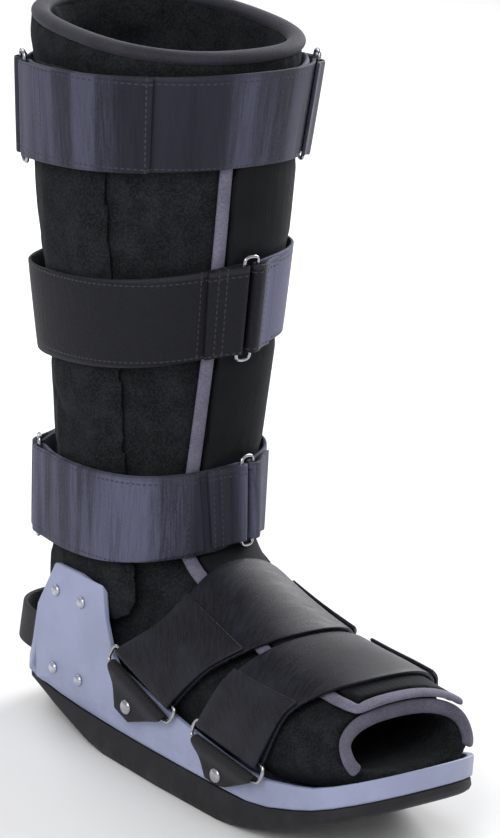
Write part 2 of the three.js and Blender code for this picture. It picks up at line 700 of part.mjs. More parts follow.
sides.forEach(([name, side]) => {
  const sleeve = sheet(sleeveGrid(side, 0), sleeveGrid(side, SLEEVE_THICKNESS));
  const pocket = bar(side, UPRIGHT_TOP + POCKET_CLEARANCE,
    UPRIGHT_WIDTH / 2 + POCKET_CLEARANCE, UPRIGHT_THICKNESS + 2 * POCKET_CLEARANCE);
  place(`sleeve_${name}`, cut(sleeve, pocket), materials.loop);
  place(`upright_${name}`, bar(side, UPRIGHT_TOP, UPRIGHT_WIDTH / 2, UPRIGHT_THICKNESS),
    materials.aluminium);
});

// Straps round the leg, and their wire rings

const FRONT_OFFSET = PAD_GAP + FLAP_THICKNESS + STRAP_CLEARANCE + STRAP_THICKNESS / 2;
const SIDE_OFFSET = PAD_GAP + SLEEVE_THICKNESS + STRAP_CLEARANCE + STRAP_THICKNESS / 2;
const REAR_OFFSET = PAD_GAP + STRAP_THICKNESS / 2 + SEAT_GAP;
const LAYER = STRAP_THICKNESS + LAYER_GAP;
const LOOP_RADIUS = WIRE / 2 + WIRE_CLEARANCE + STRAP_THICKNESS / 2;
const LOOP_STEPS = 6;
const HEM = 18; // a sewn end folded back over its bar
const RAMP = 9; // where a folded end comes down from its bar

// The straps lie on the flap in front, on the sleeves at the sides and on the bootie behind
function strapOffset(strap, psi) {
  const turn = Math.abs(THREE.MathUtils.euclideanModulo(psi / DEG + 180, 360) - 180);
  return turn < 90
    ? lerp(FRONT_OFFSET, SIDE_OFFSET, smooth(turn, ...strap.climb))
    : lerp(SIDE_OFFSET, REAR_OFFSET, smooth(turn, ...strap.drop));
}

const onHeight = (height, psi, offset) => skinAt(sectionAtHeight(height, psi), psi, offset);

// Height of a strap's lower (0) or upper (1) edge at an angle
const edgeHeight = (strap, share, psi) => lerp(strap.low, strap.high, share)
  + strap.left * Math.sin(psi) + strap.front * Math.cos(psi);

// A wire ring on a strap round the leg, centred at an angle: its bars stand along the leg
function legRing(strap, degrees) {
  const psi = degrees * DEG;
  const offset = strapOffset(strap, psi) + LOOP_RADIUS;
  const [low, high] = [0, 1].map((share) => onHeight(edgeHeight(strap, share, psi), psi, offset));
  const out = skinNormal(sectionAtHeight(edgeHeight(strap, 0.5, psi), psi), psi);
  const round = out.clone().cross(high.clone().sub(low)).normalize().negate();
  const barPoint = (sign, share) => low.clone().lerp(high, share)
    .addScaledVector(round, (sign * RING_SPACING) / 2);
  return { psi, out, round, barPoint };
}

// A strap from one ring round to another. Its main run goes from the first ring's bar on the side of the
// lesser angle to the second ring's other bar; each end wraps its bar and lies back on the run.
function legStrap(strap, first, last, foldFirst, foldLast) {
  const rows = [];
  const middle = (psi) => sectionAtHeight(edgeHeight(strap, 0.5, psi), psi);
  const add = (psi, offset) => rows.push([0, 1].map(
    (share) => onHeight(edgeHeight(strap, share, psi), psi, offset)));
  const pace = (psi) => 1 / (1 / turnFor(middle(psi), psi, 1) + SIDE_OFFSET);
  const start = first.psi - pace(first.psi) * (RING_SPACING / 2);
  const end = last.psi + pace(last.psi) * (RING_SPACING / 2);
  const folded = (psi, sign, length) => {
    const steps = Math.max(1, Math.round((length - RAMP) / 11));
    return Array.from({ length: steps + 1 }, (_, i) => (
      psi + sign * pace(psi) * lerp(RAMP, length, i / steps)));
  };
  const wrap = (ring, sign, from, to) => {
    for (let i = 0; i <= LOOP_STEPS; i += 1) {
      const at = lerp(from, to, i / LOOP_STEPS) * DEG;
      rows.push([0, 1].map((share) => ring.barPoint(sign, share)
        .addScaledVector(ring.round, LOOP_RADIUS * Math.cos(at))
        .addScaledVector(ring.out, LOOP_RADIUS * Math.sin(at))));
    }
  };
  const shoulder = (ring, sign) => rows.push([0, 1].map((share) => ring.barPoint(sign, share)
    .addScaledVector(ring.round, sign * 0.45 * RAMP)
    .addScaledVector(ring.out, 0.6 * LOOP_RADIUS)));
  folded(start, -1, foldFirst).reverse().forEach((psi) => add(psi, strapOffset(strap, psi) + LAYER));
  shoulder(first, -1);
  wrap(first, -1, 90, -90);
  const steps = Math.ceil((start - end) / (10 * DEG));
  for (let i = 1; i < steps; i += 1) {
    const psi = lerp(start, end, i / steps);
    add(psi, strapOffset(strap, psi));
  }
  wrap(last, 1, 270, 90);
  shoulder(last, 1);
  folded(end, 1, foldLast).forEach((psi) => add(psi, strapOffset(strap, psi) + LAYER));
  return band(rows, STRAP_THICKNESS);
}

// The same ring one turn further back, for a strap that goes all round
const turnBack = (ring) => ({ ...ring, psi: ring.psi - 2 * Math.PI });

// Length that a strap's end must lie back to reach an angle
const foldTo = (strap, ring, degrees) => Math.abs(ring.psi - degrees * DEG)
  * (1 / turnFor(sectionAtHeight(strap.low, ring.psi), ring.psi, 1) + SIDE_OFFSET);

// Closed wire through four corners given in order, with rounded corners
function wireRing(corners) {
  const up = corners[1].clone().sub(corners[0]).cross(corners[2].clone().sub(corners[1])).normalize();
  const stops = [];
  corners.forEach((corner, i) => {
    const before = corners[(i + 3) % 4].clone().sub(corner).normalize();
    const after = corners[(i + 1) % 4].clone().sub(corner).normalize();
    [[RING_CORNER, 0], [RING_CORNER * 0.29, RING_CORNER * 0.29], [0, RING_CORNER]].forEach(([back, on]) => {
      stops.push({ point: corner.clone().addScaledVector(before, back).addScaledVector(after, on), up });
    });
  });
  return bead(stops, WIRE, WIRE, 5, true);
}

function legWireRing(strap, ring) {
  const reach = RING_OVERHANG / (strap.high - strap.low);
  const [low, high] = [-reach, 1 + reach];
  return wireRing([
    ring.barPoint(-1, low), ring.barPoint(-1, high), ring.barPoint(1, high), ring.barPoint(1, low),
  ]);
}

// A strap of two lengths, joined by a ring in front and a ring behind; its free end lies on the front length
function twoRingStrap(name, strap, frontDegrees, rearDegrees, freeEnd) {
  const front = legRing(strap, frontDegrees);
  const rear = legRing(strap, rearDegrees);
  const lap = foldTo(strap, rear, freeEnd);
  place(`strap_${name}_front`, legStrap(strap, front, rear, HEM, lap), materials.webbing);
  place(`strap_${name}_rear`, legStrap(strap, rear, turnBack(front), HEM, HEM), materials.webbing);
  place(`ring_${name}_left`, legWireRing(strap, front), materials.steel);
  place(`ring_${name}_right`, legWireRing(strap, rear), materials.steel);
}

twoRingStrap('top', TOP_STRAP, 59, -117, -46);
twoRingStrap('ankle', ANKLE_STRAP, 13, -128, -20);

const middleRing = legRing(MIDDLE_STRAP, 2);
place('strap_middle', legStrap(MIDDLE_STRAP, middleRing, turnBack(middleRing), 24, HEM), materials.loop);
place('ring_middle', legWireRing(MIDDLE_STRAP, middleRing), materials.steel);

// Foot straps with their rings, chafes and rivets on both sides of the shell

const FOOT_STRAPS = [
  // place along the sole and slope of the rings, section of the strap's middle over the instep and beside it,
  // width over the instep, lengths folded back on the two sides, depth of the chafe
  { name: 'instep', along: 0.463, slope: 20, top: 10.2, side: 11, width: 64, folds: [34, 26], chafe: 20 },
  { name: 'forefoot', along: 0.703, slope: 8, top: 13.35, side: 13.3, width: 54, folds: [20, 20], chafe: 16 },
];
const STRAP_LEAVES = 66; // degrees from the top where a foot strap leaves the bootie for its ring
const STRAP_LANES = 3;

// The frame of a foot ring: its bars' direction towards the toe, the way down along the shell, its two bars
function footRing(row, side) {
  const slope = row.slope * DEG;
  const ahead = new THREE.Vector3(0, -Math.cos(slope), -Math.sin(slope));
  const down = new THREE.Vector3(0, Math.sin(slope), -Math.cos(slope));
  const centre = new THREE.Vector3(0, yAt(row.along), wallTop(row.along) + FOOT_RING_RISE);
  const reach = FOOT_STRAP_WIDTH / 2 / SOLE_LENGTH;
  const wall = Math.max(...[-1, -0.5, 0, 0.5, 1].map((share) => shellHalfWidth(
    row.along + share * reach, flangeHeight(row.along) + WALL_FOOT)));
  const low = wall + SEAT_GAP + CHAFE_THICKNESS + WIRE_CLEARANCE + WIRE / 2;
  const bar = (x, distance) => centre.clone().addScaledVector(down, distance).setX(side * x);
  const lower = bar(low, RING_SPACING / 2);
  const upper = bar(low - FOOT_RING_TILT, -RING_SPACING / 2);
  return { ahead, down, lower, upper, out: new THREE.Vector3(side, 0, 0) };
}

function footStrap(row) {
  const rows = [];
  const lanes = Array.from({ length: STRAP_LANES + 1 }, (_, j) => j / STRAP_LANES - 0.5);
  const over = (turn, offset) => {
    const share = smooth(Math.abs(turn), 0, STRAP_LEAVES);
    const s = lerp(row.top, row.side, share);
    const width = lerp(row.width, FOOT_STRAP_WIDTH, share);
    rows.push(lanes.map((lane) => skinAt(slideAlong(s, turn * DEG, lane * width), turn * DEG, offset)));
  };
  const wrap = (ring, first, last) => {
    const up = ring.upper.clone().sub(ring.lower).normalize();
    for (let i = 0; i <= LOOP_STEPS; i += 1) {
      const at = lerp(first, last, i / LOOP_STEPS) * DEG;
      rows.push(lanes.map((lane) => ring.upper.clone()
        .addScaledVector(ring.ahead, lane * FOOT_STRAP_WIDTH)
        .addScaledVector(up, LOOP_RADIUS * Math.cos(at))
        .addScaledVector(ring.out, LOOP_RADIUS * Math.sin(at))));
    }
  };
  const [right, left] = [footRing(row, -1), footRing(row, 1)];
  const degrees = (distance) => distance / 1.05;
  const foldRows = (sign, length) => {
    const end = STRAP_LEAVES + 4 - degrees(length);
    return [end, (end + STRAP_LEAVES) / 2, STRAP_LEAVES].map((turn) => sign * turn);
  };
  foldRows(-1, row.folds[0]).forEach((turn) => over(turn, FRONT_OFFSET + LAYER));
  wrap(right, 90, 270);
  for (let i = 0; i <= 12; i += 1) over(lerp(-STRAP_LEAVES, STRAP_LEAVES, i / 12), FRONT_OFFSET);
  wrap(left, -90, -270);
  foldRows(1, row.folds[1]).reverse().forEach((turn) => over(turn, FRONT_OFFSET + LAYER));
  return band(rows, STRAP_THICKNESS);
}

function footWireRing(ring) {
  const half = FOOT_STRAP_WIDTH / 2 + RING_OVERHANG;
  const corner = (bar, share) => bar.clone().addScaledVector(ring.ahead, share * half);
  return wireRing([
    corner(ring.lower, -1), corner(ring.lower, 1), corner(ring.upper, 1), corner(ring.upper, -1)]);
}

const CHAFE_LOOP = WIRE / 2 + WIRE_CLEARANCE + CHAFE_THICKNESS / 2;
const CHAFE_TIP = { centre: -0.12, half: 0.13 }; // shares of the chafe's width at its bar

// A folded triangle of webbing: down the shell inside, round the ring's lower bar and down again outside
function chafe(row, ring) {
  const inner = -CHAFE_LOOP;
  const outer = inner + CHAFE_THICKNESS + LAYER_GAP;
  const depth = row.chafe;
  const path = [
    [depth, outer], [depth * 0.7, outer], [depth * 0.42, outer], [depth * 0.2, lerp(outer, CHAFE_LOOP, 0.6)],
    ...[90, 60, 30, 0, -30, -60, -90].map((turn) => [
      -CHAFE_LOOP * Math.cos(turn * DEG), CHAFE_LOOP * Math.sin(turn * DEG)]),
    [depth * 0.3, inner], [depth * 0.65, inner], [depth, inner],
  ];
  return band(path.map(([down, out]) => {
    const share = THREE.MathUtils.clamp(down / depth, 0, 1);
    return [-1, 1].map((edge) => {
      const lane = lerp(edge / 2, CHAFE_TIP.centre + edge * CHAFE_TIP.half, share) * FOOT_STRAP_WIDTH;
      return ring.lower.clone().addScaledVector(ring.down, down).addScaledVector(ring.ahead, lane)
        .addScaledVector(ring.out, out);
    });
  }), CHAFE_THICKNESS);
}

// Domed rivet head with its flat back at a point, facing outwards on one side
function rivet(point, side, radius, rise) {
  const profile = [[0, 0], [radius, 0], [radius * 0.72, rise * 0.8], [0, rise]];
  const head = new THREE.LatheGeometry(profile.map(([r, h]) => new THREE.Vector2(r, h)), 9);
  head.rotateZ(-side * Math.PI / 2);
  head.translate(point.x, point.y, point.z);
  head.deleteAttribute('normal');
  head.deleteAttribute('uv');
  return outwards(mergeVertices(head, 1e-4));
}

FOOT_STRAPS.forEach((row) => {
  place(`strap_${row.name}`, footStrap(row), materials.webbing);
  sides.forEach(([name, side]) => {
    const ring = footRing(row, side);
    place(`ring_${row.name}_${name}`, footWireRing(ring), materials.steel);
    place(`chafe_${row.name}_${name}`, chafe(row, ring), materials.hook);
    const share = 0.66;
    const face = -CHAFE_LOOP + (3 * CHAFE_THICKNESS) / 2 + LAYER_GAP + SEAT_GAP;
    const seat = ring.lower.clone().addScaledVector(ring.down, row.chafe * share)
      .addScaledVector(ring.ahead, CHAFE_TIP.centre * share * FOOT_STRAP_WIDTH)
      .addScaledVector(ring.out, face);
    place(`rivet_${row.name}_${name}`, rivet(seat, side, CHAFE_RIVET_RADIUS, RIVET_RISE), materials.steel);
  });
});

sides.forEach(([name, side]) => {
  RIVET_ROWS.forEach((height, i) => {
    [['rear', 1], ['front', -1]].forEach(([column, sign]) => {
      const seat = axisPoint(height);
      seat.y += (sign * RIVET_PITCH) / 2;
      const outside = [-1, 0, 1].map((edge) => shellHalfWidth(
        (HEEL_Y - seat.y + edge * RIVET_RADIUS) / SOLE_LENGTH, height));
      seat.x = side * (Math.max(...outside) + SEAT_GAP);
      place(`rivet_wall_${name}_${i ? 'high' : 'low'}_${column}`, rivet(seat, side, RIVET_RADIUS, RIVET_RISE),
        materials.aluminium);
    });
  });
});

// Heel strap: a stiff band round the back of the bootie, its ends inside the side walls

function heelStrap() {
  const half = WALL_INSIDE - 3 * SEAT_GAP - HEEL_STRAP.thickness / 2;
  const steps = 20;
  const rows = Array.from({ length: steps + 1 }, (_, i) => {
    const turn = (Math.PI * i) / steps;
    const across = Math.sign(Math.cos(turn)) * Math.abs(Math.cos(turn)) ** HEEL_STRAP.square;
    const back = Math.sin(turn) ** HEEL_STRAP.square;
    const room = half - HEEL_STRAP.draw * smooth(back, 0, 0.3);
    return [0, 0.5, 1].map((share) => {
      const flare = HEEL_STRAP.flare * (1 - share) * back * back;
      return new THREE.Vector3(
        (room + flare) * across, lerp(HEEL_STRAP.front, HEEL_STRAP.rear + flare, back),
        lerp(HEEL_STRAP.low, HEEL_STRAP.high, share));
    });
  });
  return band(rows, HEEL_STRAP.thickness);
}

place('heel_strap', heelStrap(), materials.hook);

export default boot;
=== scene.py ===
"""A tall medical walking boot, dressed for a still picture: pieces, finishes, stage and camera."""

import math

import bmesh
import bpy
import numpy as np
from bpy.props import FloatProperty, FloatVectorProperty, IntProperty, PointerProperty
from mathutils import Matrix, Vector, noise


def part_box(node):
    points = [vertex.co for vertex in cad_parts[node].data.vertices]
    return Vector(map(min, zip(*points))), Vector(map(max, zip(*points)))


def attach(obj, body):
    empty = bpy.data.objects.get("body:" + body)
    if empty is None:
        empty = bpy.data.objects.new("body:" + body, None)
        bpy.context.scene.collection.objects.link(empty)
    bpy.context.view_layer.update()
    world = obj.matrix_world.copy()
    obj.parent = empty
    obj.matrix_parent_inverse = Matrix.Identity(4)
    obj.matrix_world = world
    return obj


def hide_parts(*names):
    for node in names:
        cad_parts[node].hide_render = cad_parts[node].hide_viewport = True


bl_info = {
    "name": "Walking Boot",
    "version": (1, 0, 0),
    "blender": (4, 5, 0),
    "location": "3D View > Sidebar > Walking Boot",
    "description": "Dresses the walking boot's solids with cloth, webbing, wire and moulded finishes",
    "category": "Object",
}

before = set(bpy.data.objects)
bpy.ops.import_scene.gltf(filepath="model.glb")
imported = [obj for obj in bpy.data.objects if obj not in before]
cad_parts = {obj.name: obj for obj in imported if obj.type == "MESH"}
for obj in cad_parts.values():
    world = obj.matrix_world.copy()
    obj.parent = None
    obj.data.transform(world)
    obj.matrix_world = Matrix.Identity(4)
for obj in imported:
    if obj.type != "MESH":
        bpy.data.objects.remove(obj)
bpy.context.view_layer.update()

# The leg's axis in millimetres: where it stands on the floor and how far it leans back per millimetre
AXIS_Y = 61.0
AXIS_LEAN = 0.0349

# Radius in millimetres at which the finishes count distance round the leg, and one degree's length there
LEG_RADIUS = 66.0
MM_PER_DEGREE = 1.15

# Straps round the leg in millimetres: lower and upper edge beside the leg, and how much higher they
# lie on the wearer's left and in front; shade is how light the webbing is against the colour given.
# The ankle strap's 1.4 is painted light: its webbing is lightened for the light that falls on it
LEG_STRAPS = {
    "top": {"low": 313.0, "high": 363.5, "left": 0.0, "front": 5.0, "shade": 1.0},
    "middle": {"low": 215.0, "high": 262.0, "left": 6.0, "front": 5.5, "shade": 1.0},
    "ankle": {"low": 109.0, "high": 158.0, "left": 4.0, "front": 0.0, "shade": 1.4},
}

# Stretches of the straps painted darker, in degrees round the leg from the front: painted shade where
# the straps turn away from the lamps and lose their sheen
PAINTED_SHADE_SPANS = {"top": (-60.0, -13.0), "middle": (-130.0, 8.0), "ankle": (-21.0, 6.0)}

# Sewn seams across the straps, in degrees round the leg from the front
HEM_SEAMS = {
    "top": (44.0, -101.0, -105.0, -47.5),
    "middle": (-9.5, -13.5, 13.0, -21.0),
    "ankle": (-3.5, -8.0, 27.0, 31.0, -111.0, -21.5),
}

# From a strap's edge to its row of stitches, and half the width of a thread, in millimetres
SEAM_INSET = 3.0
THREAD_REACH = 0.55

# Vertices of the loose triangles nearer than this, in metres, are one corner
MERGE_DISTANCE = 0.00002

# Heights in millimetres between which the bootie creases at the bend of the ankle, and how far from
# these the creases reach their full depth
CREASE_HEIGHTS = (58.0, 128.0)
CREASE_FADE = 16.0

# How many millimetres of the bootie's top are drawn up into the rim's tape, how far, and in how many
# sectors round the leg its height is looked at
RIM_REACH = 9.0
RIM_RISE = 4.0
RIM_SECTORS = 24

# Lamps: name, place and size in metres, power in watts
LAMPS = [
    ("key", (-1.7, -0.9, 1.5), 1.3, 27.0),
    ("front", (-0.3, -2.4, 1.6), 1.6, 4.0),
    ("side", (1.8, 0.5, 1.1), 1.1, 40.0),
    ("back", (0.2, 1.8, 1.6), 1.2, 15.0),
]
LAMP_TARGET = (0.0, 0.0, 0.2)
WORLD_STRENGTH = 0.5
FLOOR_HALF = 14.0

# Camera: place in metres, its right and backward directions, focal length in millimetres
CAMERA_PLACE = (-1.30987, -1.53532, 0.79501)
CAMERA_RIGHT = (0.77026, -0.63404, 0.06847)
CAMERA_BACK = (-0.62375, -0.72667, 0.28789)
CAMERA_LENS = 175.75


class FinishColours(bpy.types.PropertyGroup):
    """Colours of the boot's materials"""

    rubber: FloatVectorProperty(
        name="Rubber", description="Colour of the outsole", subtype="COLOR", size=3,
        default=(0.010, 0.010, 0.012), min=0, max=1)
    shell: FloatVectorProperty(
        name="Shell", description="Colour of the moulded foot shell", subtype="COLOR", size=3,
        default=(0.29, 0.32, 0.475), min=0, max=1)
    pile_dark: FloatVectorProperty(
        name="Pile, dark", description="Colour deep in the brushed loop cloth", subtype="COLOR", size=3,
        default=(0.0050, 0.0054, 0.0062), min=0, max=1)
    pile_light: FloatVectorProperty(
        name="Pile, light", description="Colour of the tips of the brushed loop cloth", subtype="COLOR",
        size=3, default=(0.021, 0.0225, 0.026), min=0, max=1)
    tape: FloatVectorProperty(
        name="Tape", description="Colour of the folded binding tape", subtype="COLOR", size=3,
        default=(0.150, 0.142, 0.200), min=0, max=1)
    webbing: FloatVectorProperty(
        name="Webbing", description="Colour of the smooth straps", subtype="COLOR", size=3,
        default=(0.036, 0.037, 0.058), min=0, max=1)
    backing: FloatVectorProperty(
        name="Backing", description="Colour of the heel strap and the ring patches", subtype="COLOR",
        size=3, default=(0.009, 0.009, 0.011), min=0, max=1)
    thread: FloatVectorProperty(
        name="Thread", description="Colour of the sewing thread", subtype="COLOR", size=3,
        default=(0.042, 0.042, 0.055), min=0, max=1)
    wire: FloatVectorProperty(
        name="Wire", description="Colour of the plated wire rings and rivets", subtype="COLOR", size=3,
        default=(0.42, 0.42, 0.45), min=0, max=1)
    bar: FloatVectorProperty(
        name="Bar", description="Colour of the aluminium uprights", subtype="COLOR", size=3,
        default=(0.50, 0.52, 0.58), min=0, max=1)


class PaddingSizes(bpy.types.PropertyGroup):
    """How far the padding swells, and how finely it is modelled"""

    bootie_grid: FloatProperty(
        name="Bootie grid", description="Size of the bootie's mesh squares", unit="LENGTH",
        default=0.0041, min=0.003, max=0.008)
    panel_grid: FloatProperty(
        name="Panel grid", description="Size of the mesh squares of the flap and the sleeves",
        unit="LENGTH", default=0.0019, min=0.0015, max=0.003)
    bare_swell: FloatProperty(
        name="Bare swell", description="How far the bootie swells where nothing covers it",
        unit="LENGTH", default=0.0045, min=0, max=0.008)
    covered_swell: FloatProperty(
        name="Covered swell", description="How far padding swells under a strap or a panel",
        unit="LENGTH", default=0.0003, min=0, max=0.001)
    panel_swell: FloatProperty(
        name="Panel swell", description="How far the flap and the sleeves swell between the straps",
        unit="LENGTH", default=0.0014, min=0, max=0.003)
    crease: FloatProperty(
        name="Crease", description="Depth of the creases in the bootie at the bend of the ankle",
        unit="LENGTH", default=0.0045, min=0, max=0.008)
    pressure: FloatProperty(
        name="Pressure", description="Air pressure that stands for the foam", default=4.0, min=0, max=10)
    settle: IntProperty(
        name="Settling frames", description="Frames that the cloth is given to swell", default=20,
        min=5, max=40)


class StrapSizes(bpy.types.PropertyGroup):
    """Edges of straps, rings and patches"""

    edge: FloatProperty(
        name="Strap edge", description="Rounding of a strap's edges", unit="LENGTH", default=0.0006,
        min=0.0001, max=0.001)
    patch_edge: FloatProperty(
        name="Patch edge", description="Rounding of a ring patch's edges", unit="LENGTH",
        default=0.0004, min=0.0001, max=0.0008)
    stitch: FloatProperty(
        name="Stitch", description="Length from one stitch to the next", unit="LENGTH", default=0.0032,
        min=0.002, max=0.006)


class Wire:
    """One output of a shader node; arithmetic on it adds Math nodes."""

    def __init__(self, finish, socket):
        self.finish = finish
        self.socket = socket

    def math(self, operation, *values):
        return self.finish.node("ShaderNodeMath", {"operation": operation}, self, *values)

    def __add__(self, other):
        return self.math("ADD", other)

    def __radd__(self, other):
        return self.math("ADD", other)

    def __sub__(self, other):
        return self.math("SUBTRACT", other)

    def __rsub__(self, other):
        return self.finish.node("ShaderNodeMath", {"operation": "SUBTRACT"}, other, self)

    def __mul__(self, other):
        return self.math("MULTIPLY", other)

    def __rmul__(self, other):
        return self.math("MULTIPLY", other)

    def __truediv__(self, other):
        return self.math("DIVIDE", other)

    def ramp(self, low, high):
        """0 at low, 1 at high, smooth between"""
        return self.finish.node(
            "ShaderNodeMapRange", {"interpolation_type": "SMOOTHSTEP"}, self, low, high, 0.0, 1.0)

    def near(self, centre, reach):
        """1 at the centre, 0 from reach on"""
        return (self - centre).math("ABSOLUTE").ramp(reach, reach * 0.4)


class Finish:
    """A procedural material under construction"""

    def __init__(self, name):
        self.material = bpy.data.materials.new(name)
        self.material.use_nodes = True
        self.tree = self.material.node_tree
        self.shader = self.tree.nodes["Principled BSDF"]
        place = self.node("ShaderNodeTexCoord", out="Object")
        self.mm = self.node(
            "ShaderNodeVectorMath", {"operation": "MULTIPLY"}, place, (1000.0, 1000.0, 1000.0))

    def feed(self, socket, value):
        if isinstance(value, Wire):
            self.tree.links.new(value.socket, socket)
        else:
            socket.default_value = value

    def node(self, kind, settings=None, *values, out=0, **named):
        made = self.tree.nodes.new(kind)
        for key, value in (settings or {}).items():
            setattr(made, key, value)
        for index, value in enumerate(values):
            self.feed(made.inputs[index], value)
        for key, value in named.items():
            self.feed(made.inputs[key.replace("_", " ")], value)
        return Wire(self, made.outputs[out])

    def split(self, vector=None):
        """The x, y and z of a vector, or of the place on the boot in millimetres"""
        first = self.node("ShaderNodeSeparateXYZ", None, vector or self.mm)
        outputs = first.socket.node.outputs
        return [Wire(self, output) for output in outputs]

    def join(self, x, y, z):
        return self.node("ShaderNodeCombineXYZ", None, x, y, z)

    def grain(self, scale, detail=2.0, rough=0.5, vector=None, out=0):
        return self.node(
            "ShaderNodeTexNoise", None, Vector=vector or self.mm, Scale=scale, Detail=detail,
            Roughness=rough, out=out)

    def cells(self, scale, vector=None):
        return self.node("ShaderNodeTexVoronoi", None, Vector=vector or self.mm, Scale=scale)

    def blend(self, share, first, second):
        """A colour between two colours"""
        made = self.tree.nodes.new("ShaderNodeMix")
        made.data_type = "RGBA"
        self.feed(made.inputs[0], share)
        for index, colour in ((6, first), (7, second)):
            self.feed(made.inputs[index], colour if isinstance(colour, Wire) else (*colour, 1.0))
        return Wire(self, made.outputs[2])

    def bump(self, height, depth, strength=1.0):
        """A relief of the given depth in millimetres"""
        return self.node(
            "ShaderNodeBump", None, Strength=strength, Distance=depth / 1000.0, Height=height)

    def set(self, **sockets):
        for key, value in sockets.items():
            self.feed(self.shader.inputs[key.replace("_", " ")], value)
        return self.material

    def round_leg(self, strap=None):
        """Degrees round the leg from the front, distance round it, and height less a strap's tilt"""
        x, y, z = self.split()
        ahead = AXIS_Y + z * AXIS_LEAN - y
        angle = x.math("ARCTAN2", ahead)
        if strap:
            size = (x * x + ahead * ahead).math("SQRT")
            z = z - (x * strap["left"] + ahead * strap["front"]) / size
        return angle * (180.0 / math.pi), angle * LEG_RADIUS, z


def tint(colour, factor):
    return tuple(min(1.0, part * factor) for part in colour)


def colours():
    return bpy.context.scene.boot_colours


def pile_finish(name, dark=1.0, light=1.0, depth=0.55):
    """Brushed loop cloth: short curled pile with darker and lighter tufts"""
    finish = Finish(name)
    tufts = finish.grain(0.85, 4.0, 0.62)
    curls = finish.cells(1.35)
    patches = finish.grain(0.09, 2.0, 0.5)
    worn = finish.grain(0.022, 2.0, 0.5)
    height = tufts * 0.7 + curls * 0.3
    share = (tufts.ramp(0.36, 0.68) * 0.75 + patches.ramp(0.35, 0.7) * 0.35) * (worn * 0.5 + 0.72)
    base = finish.blend(share, tint(colours().pile_dark, dark), tint(colours().pile_light, light))
    return finish.set(
        Base_Color=base, Roughness=0.8 + tufts * 0.2, Normal=finish.bump(height, depth, 0.9),
        Sheen_Weight=0.035, Sheen_Roughness=0.4, Sheen_Tint=(0.75, 0.78, 0.9, 1.0),
        Specular_IOR_Level=0.1)


def knit_finish(name):
    """Smooth stretch knit of the front flap: fine upright ribs, slightly mottled"""
    finish = Finish(name)
    _, round_mm, height_mm = finish.round_leg()
    ribs = (round_mm * 5.2).math("SINE") * 0.5 + 0.5
    rows = (height_mm * 7.0).math("SINE") * 0.5 + 0.5
    tufts = finish.grain(1.1, 3.0, 0.6)
    patches = finish.grain(0.06, 2.0, 0.5)
    share = tufts.ramp(0.3, 0.75) * 0.45 + patches.ramp(0.3, 0.7) * 0.3
    base = finish.blend(share, tint(colours().pile_dark, 1.15), tint(colours().pile_light, 0.62))
    relief = ribs * 0.35 + rows * 0.15 + tufts * 0.5
    return finish.set(
        Base_Color=base, Roughness=0.72 + tufts * 0.2, Normal=finish.bump(relief, 0.22, 0.8),
        Sheen_Weight=0.05, Sheen_Roughness=0.3, Sheen_Tint=(0.7, 0.75, 0.9, 1.0),
        Specular_IOR_Level=0.12)


def stitch_rows(finish, lines, along, pitch):
    """1 on the threads of sewn rows: lines are distances across each row, along runs with the row"""
    threads = None
    for across in lines:
        row = across.math("ABSOLUTE").ramp(THREAD_REACH, 0.2)
        threads = row if threads is None else threads.math("MAXIMUM", row)
    dash = (along / pitch).math("FRACT").near(0.5, 0.42)
    return threads * dash


